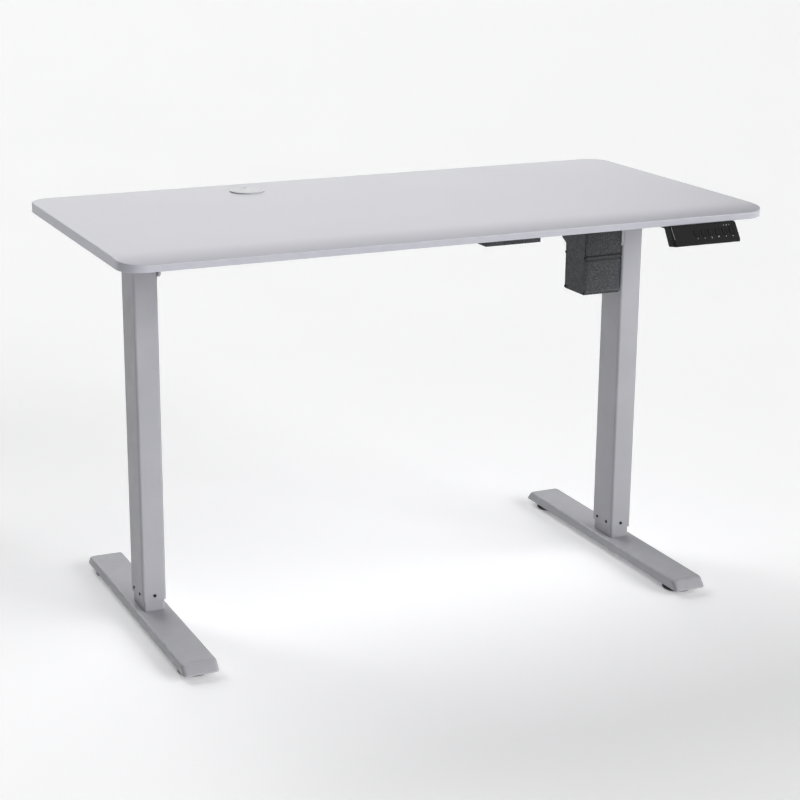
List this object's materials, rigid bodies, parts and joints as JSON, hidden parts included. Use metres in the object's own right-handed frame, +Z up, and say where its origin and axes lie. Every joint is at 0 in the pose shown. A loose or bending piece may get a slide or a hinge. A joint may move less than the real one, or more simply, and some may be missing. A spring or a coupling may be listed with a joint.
{
  "type": "height adjustable desk",
  "caption": "Electric sit-stand desk: pale board with a gently curved front edge on two telescopic columns with flat feet, side-mounted motor unit and a front handset.",
  "frame": {"origin": "on the floor under the middle of the desktop, desk at its lowest height", "axes": "+X to the user's right, +Y away from the user towards the back edge, +Z up"},
  "size_m": [1.2, 0.6254, 0.73],
  "materials": {
    "board": "smooth pale grey laminate on board",
    "grommet": "satin pale grey plastic",
    "frame_paint": "fine satin pale grey powder coat",
    "black_plastic": "fine spark-textured black",
    "handset_gloss": "semi-gloss black face",
    "button_black": "soft-touch black",
    "steel": "zinc-plated and bright steel",
    "black_screw": "black oxide",
    "gearbox_alloy": "cast alloy",
    "nylon": "natural nylon",
    "circuit_board": "green solder mask"
  },
  "bodies": {
    "base": {"foot_left": "frame_paint", "foot_right": "frame_paint", "foot_plates": "frame_paint", "levelling_nuts": "steel", "column_bolts": "steel", "base_plates": "steel", "inner_tube_left": "frame_paint", "inner_tube_right": "frame_paint", "upper_glides": "nylon", "lift_nut_left": "nylon", "lift_nut_right": "nylon"},
    "top": {"desktop": "board", "grommet_ring": "grommet", "outer_tube_left": "frame_paint", "outer_tube_right": "frame_paint", "lower_glides": "nylon", "glide_screws": "black_screw", "head_plates": "frame_paint", "gearbox_left": "gearbox_alloy", "gearbox_right": "gearbox_alloy", "bearings": "steel", "side_arm_left": "frame_paint", "side_arm_right": "frame_paint", "head_bracket_left": "frame_paint", "head_bracket_right": "frame_paint", "rail_front": "frame_paint", "rail_back": "frame_paint", "rail_bolts": "steel", "rod_bushes": "nylon", "motor_housing": "black_plastic", "motor_cover": "black_plastic", "motor_screws": "black_screw", "motor": "steel", "motor_plate": "steel", "control_box": "black_plastic", "control_lid": "black_plastic", "control_board": "circuit_board", "power_inlet": "black_plastic", "handset_housing": "black_plastic", "handset_face": "handset_gloss", "handset_board": "circuit_board", "board_screws": "steel"},
    "spindle_left": {"spindle_left": "steel"},
    "spindle_right": {"spindle_right": "steel"},
    "drive": {"drive_rod": "steel", "drive_gears": "steel"},
    "worm": {"worm_shaft": "steel"},
    "cap": {"grommet_cap": "grommet"},
    "button_1": {"button_1": "button_black"},
    "button_2": {"button_2": "button_black"},
    "button_3": {"button_3": "button_black"},
    "button_4": {"button_4": "button_black"},
    "button_5": {"button_5": "button_black"},
    "button_6": {"button_6": "button_black"},
    "levelling_foot_left_front": {"levelling_foot_left_front": "black_plastic"},
    "levelling_foot_left_back": {"levelling_foot_left_back": "black_plastic"},
    "levelling_foot_right_front": {"levelling_foot_right_front": "black_plastic"},
    "levelling_foot_right_back": {"levelling_foot_right_back": "black_plastic"}
  },
  "joints": [
    {"name": "lift", "type": "slide", "parent": "base", "child": "top", "axis": [0, 0, 1], "range_m": [0, 0.45]},
    {"name": "spindle_left_turn", "type": "hinge", "parent": "top", "child": "spindle_left", "pos_m": [-0.4826, 0, 0.4], "axis": [0, 0, 1], "range_deg": [0, 16201.6]},
    {"name": "spindle_right_turn", "type": "hinge", "parent": "top", "child": "spindle_right", "pos_m": [0.4826, 0, 0.4], "axis": [0, 0, 1], "range_deg": [-16201.6, 0]},
    {"name": "drive_rod_turn", "type": "hinge", "parent": "top", "child": "drive", "pos_m": [0, 0, 0.695], "axis": [1, 0, 0], "range_deg": [0, 16201.6]},
    {"name": "worm_turn", "type": "hinge", "parent": "top", "child": "worm", "pos_m": [0.4181, -0.0119, 0.66], "axis": [0, 0, 1], "range_deg": [0, 324032.4]},
    {"name": "cap_turn", "type": "hinge", "parent": "top", "child": "cap", "pos_m": [-0.2, 0.222, 0.728], "axis": [0, 0, 1], "continuous": true},
    {"name": "button_1_press", "type": "slide", "parent": "top", "child": "button_1", "axis": [0, 0.8192, -0.5736], "range_m": [0, 0.001], "stiffness_N_per_m": 1200},
    {"name": "button_2_press", "type": "slide", "parent": "top", "child": "button_2", "axis": [0, 0.8192, -0.5736], "range_m": [0, 0.001], "stiffness_N_per_m": 1200},
    {"name": "button_3_press", "type": "slide", "parent": "top", "child": "button_3", "axis": [0, 0.8192, -0.5736], "range_m": [0, 0.001], "stiffness_N_per_m": 1200},
    {"name": "button_4_press", "type": "slide", "parent": "top", "child": "button_4", "axis": [0, 0.8192, -0.5736], "range_m": [0, 0.001], "stiffness_N_per_m": 1200},
    {"name": "button_5_press", "type": "slide", "parent": "top", "child": "button_5", "axis": [0, 0.8192, -0.5736], "range_m": [0, 0.001], "stiffness_N_per_m": 1200},
    {"name": "button_6_press", "type": "slide", "parent": "top", "child": "button_6", "axis": [0, 0.8192, -0.5736], "range_m": [0, 0.001], "stiffness_N_per_m": 1200},
    {"name": "levelling_foot_left_front_screw", "type": "slide", "parent": "base", "child": "levelling_foot_left_front", "axis": [0, 0, -1], "range_m": [0, 0.008]},
    {"name": "levelling_foot_left_back_screw", "type": "slide", "parent": "base", "child": "levelling_foot_left_back", "axis": [0, 0, -1], "range_m": [0, 0.008]},
    {"name": "levelling_foot_right_front_screw", "type": "slide", "parent": "base", "child": "levelling_foot_right_front", "axis": [0, 0, -1], "range_m": [0, 0.008]},
    {"name": "levelling_foot_right_back_screw", "type": "slide", "parent": "base", "child": "levelling_foot_right_back", "axis": [0, 0, -1], "range_m": [0, 0.008]}
  ],
  "couplings": [
    {"joint": "spindle_left_turn", "follows": "lift", "rad_per_m": 628.32},
    {"joint": "spindle_right_turn", "follows": "lift", "rad_per_m": -628.32},
    {"joint": "drive_rod_turn", "follows": "lift", "rad_per_m": 628.32},
    {"joint": "worm_turn", "follows": "lift", "rad_per_m": 12566}
  ]
}
